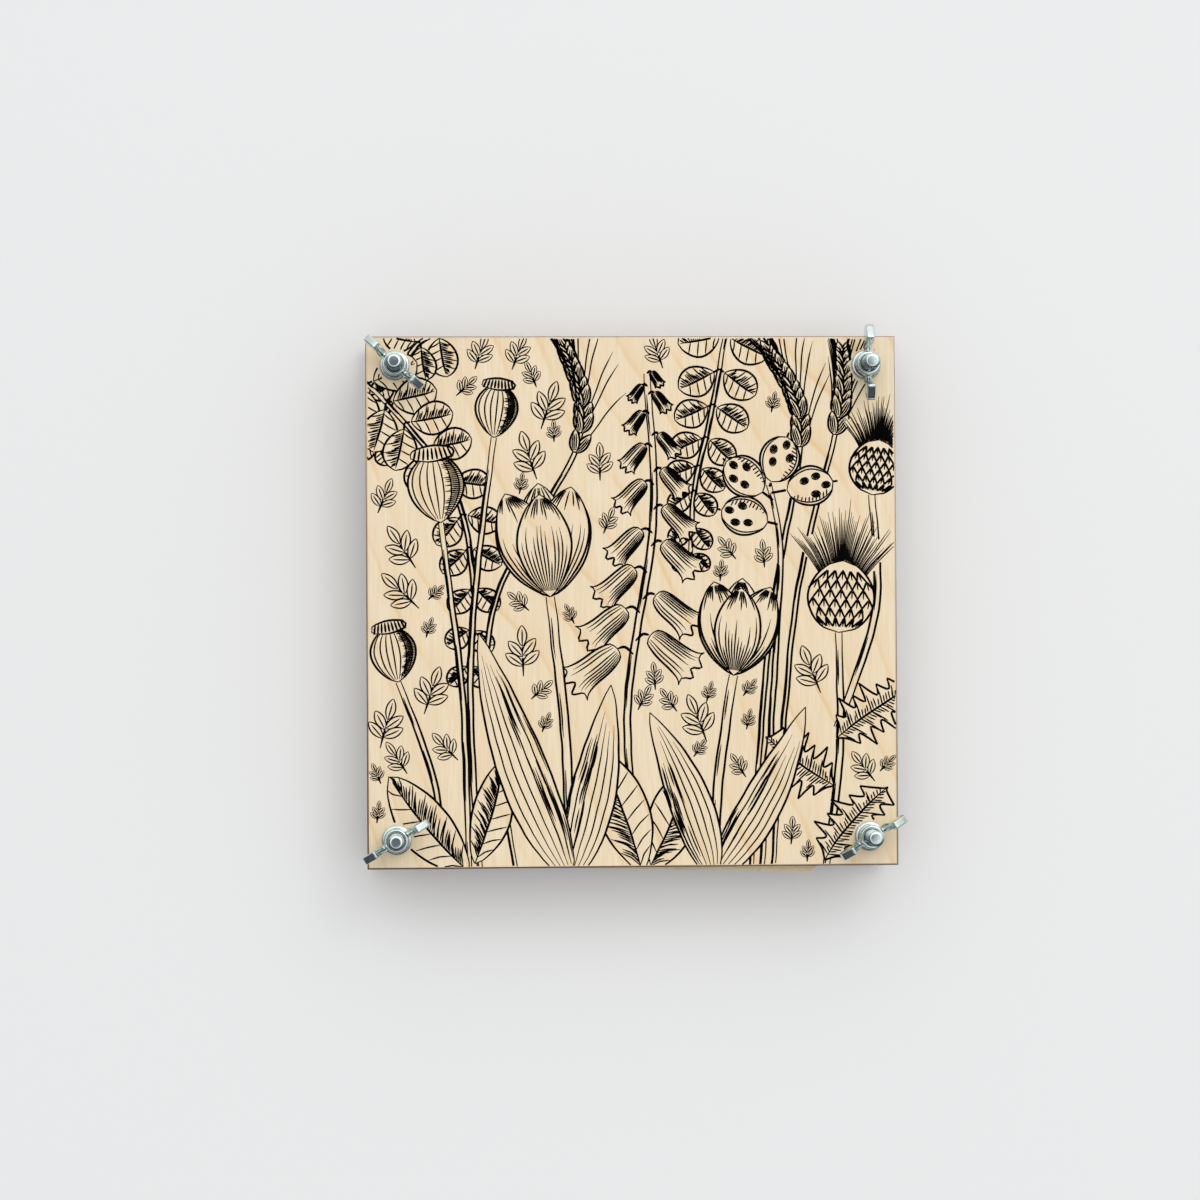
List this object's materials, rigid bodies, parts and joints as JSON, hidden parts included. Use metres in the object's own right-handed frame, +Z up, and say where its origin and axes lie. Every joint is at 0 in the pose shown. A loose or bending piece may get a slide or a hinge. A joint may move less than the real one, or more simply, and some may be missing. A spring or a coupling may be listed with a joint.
{
  "type": "flower press",
  "caption": "Flower press: square plywood boards squeeze a stack of corrugated cards and blotting papers, drawn together by corner carriage bolts with washers and wing nuts.",
  "frame": {"origin": "on the table plane under the middle of the boards, level with the four domed bolt heads that the press stands on", "axes": "+Z up through the boards, +X to the right and -Y to the front as the press lies in front of its user"},
  "size_m": [0.2044, 0.2064, 0.0586],
  "materials": {
    "birch_plywood": "bare birch plywood, laser cut with browned edges, dark print on the upper face",
    "zinc_plated_steel": "bright zinc plated, slightly blue",
    "kraft_card": "pale buff liners on a fluted medium",
    "blotting_paper": "thick uncoated off-white paper"
  },
  "bodies": {
    "base": {"bottom_board": "birch_plywood", "bolt_front_left": "zinc_plated_steel", "bolt_front_right": "zinc_plated_steel", "bolt_back_left": "zinc_plated_steel", "bolt_back_right": "zinc_plated_steel"},
    "card_1": {"card_1": "kraft_card"},
    "blotter_1": {"blotter_1": "blotting_paper"},
    "blotter_2": {"blotter_2": "blotting_paper"},
    "card_2": {"card_2": "kraft_card"},
    "blotter_3": {"blotter_3": "blotting_paper"},
    "blotter_4": {"blotter_4": "blotting_paper"},
    "card_3": {"card_3": "kraft_card"},
    "blotter_5": {"blotter_5": "blotting_paper"},
    "blotter_6": {"blotter_6": "blotting_paper"},
    "card_4": {"card_4": "kraft_card"},
    "blotter_7": {"blotter_7": "blotting_paper"},
    "blotter_8": {"blotter_8": "blotting_paper"},
    "card_5": {"card_5": "kraft_card"},
    "top_board": {"top_board": "birch_plywood"},
    "washer_front_left": {"washer_front_left": "zinc_plated_steel"},
    "wing_nut_front_left": {"wing_nut_front_left": "zinc_plated_steel"},
    "washer_front_right": {"washer_front_right": "zinc_plated_steel"},
    "wing_nut_front_right": {"wing_nut_front_right": "zinc_plated_steel"},
    "washer_back_left": {"washer_back_left": "zinc_plated_steel"},
    "wing_nut_back_left": {"wing_nut_back_left": "zinc_plated_steel"},
    "washer_back_right": {"washer_back_right": "zinc_plated_steel"},
    "wing_nut_back_right": {"wing_nut_back_right": "zinc_plated_steel"}
  },
  "joints": [
    {"name": "card_1_lift", "type": "slide", "parent": "base", "child": "card_1", "axis": [0, 0, 1], "range_m": [0, 0.054]},
    {"name": "blotter_1_lift", "type": "slide", "parent": "card_1", "child": "blotter_1", "axis": [0, 0, 1], "range_m": [0, 0.051]},
    {"name": "blotter_2_lift", "type": "slide", "parent": "blotter_1", "child": "blotter_2", "axis": [0, 0, 1], "range_m": [0, 0.05]},
    {"name": "card_2_lift", "type": "slide", "parent": "blotter_2", "child": "card_2", "axis": [0, 0, 1], "range_m": [0, 0.049]},
    {"name": "blotter_3_lift", "type": "slide", "parent": "card_2", "child": "blotter_3", "axis": [0, 0, 1], "range_m": [0, 0.046]},
    {"name": "blotter_4_lift", "type": "slide", "parent": "blotter_3", "child": "blotter_4", "axis": [0, 0, 1], "range_m": [0, 0.045]},
    {"name": "card_3_lift", "type": "slide", "parent": "blotter_4", "child": "card_3", "axis": [0, 0, 1], "range_m": [0, 0.044]},
    {"name": "blotter_5_lift", "type": "slide", "parent": "card_3", "child": "blotter_5", "axis": [0, 0, 1], "range_m": [0, 0.041]},
    {"name": "blotter_6_lift", "type": "slide", "parent": "blotter_5", "child": "blotter_6", "axis": [0, 0, 1], "range_m": [0, 0.04]},
    {"name": "card_4_lift", "type": "slide", "parent": "blotter_6", "child": "card_4", "axis": [0, 0, 1], "range_m": [0, 0.039]},
    {"name": "blotter_7_lift", "type": "slide", "parent": "card_4", "child": "blotter_7", "axis": [0, 0, 1], "range_m": [0, 0.036]},
    {"name": "blotter_8_lift", "type": "slide", "parent": "blotter_7", "child": "blotter_8", "axis": [0, 0, 1], "range_m": [0, 0.035]},
    {"name": "card_5_lift", "type": "slide", "parent": "blotter_8", "child": "card_5", "axis": [0, 0, 1], "range_m": [0, 0.034]},
    {"name": "top_board_lift", "type": "slide", "parent": "card_5", "child": "top_board", "axis": [0, 0, 1], "range_m": [0, 0.031]},
    {"name": "wing_nut_front_left_turn", "type": "hinge", "parent": "top_board", "child": "washer_front_left", "pos_m": [-0.089, -0.089, 0.0386], "axis": [0, 0, 1], "range_deg": [0, 6840]},
    {"name": "wing_nut_front_left_climb", "type": "slide", "parent": "washer_front_left", "child": "wing_nut_front_left", "axis": [0, 0, 1], "range_m": [0, 0.0191]},
    {"name": "wing_nut_front_right_turn", "type": "hinge", "parent": "top_board", "child": "washer_front_right", "pos_m": [0.089, -0.089, 0.0386], "axis": [0, 0, 1], "range_deg": [0, 6840]},
    {"name": "wing_nut_front_right_climb", "type": "slide", "parent": "washer_front_right", "child": "wing_nut_front_right", "axis": [0, 0, 1], "range_m": [0, 0.0191]},
    {"name": "wing_nut_back_left_turn", "type": "hinge", "parent": "top_board", "child": "washer_back_left", "pos_m": [-0.089, 0.089, 0.0386], "axis": [0, 0, 1], "range_deg": [0, 6840]},
    {"name": "wing_nut_back_left_climb", "type": "slide", "parent": "washer_back_left", "child": "wing_nut_back_left", "axis": [0, 0, 1], "range_m": [0, 0.0191]},
    {"name": "wing_nut_back_right_turn", "type": "hinge", "parent": "top_board", "child": "washer_back_right", "pos_m": [0.089, 0.089, 0.0386], "axis": [0, 0, 1], "range_deg": [0, 6840]},
    {"name": "wing_nut_back_right_climb", "type": "slide", "parent": "washer_back_right", "child": "wing_nut_back_right", "axis": [0, 0, 1], "range_m": [0, 0.0191]}
  ],
  "couplings": [
    {"joint": "wing_nut_front_left_climb", "follows": "wing_nut_front_left_turn", "m_per_rad": 0.00015915},
    {"joint": "wing_nut_front_right_climb", "follows": "wing_nut_front_right_turn", "m_per_rad": 0.00015915},
    {"joint": "wing_nut_back_left_climb", "follows": "wing_nut_back_left_turn", "m_per_rad": 0.00015915},
    {"joint": "wing_nut_back_right_climb", "follows": "wing_nut_back_right_turn", "m_per_rad": 0.00015915}
  ]
}
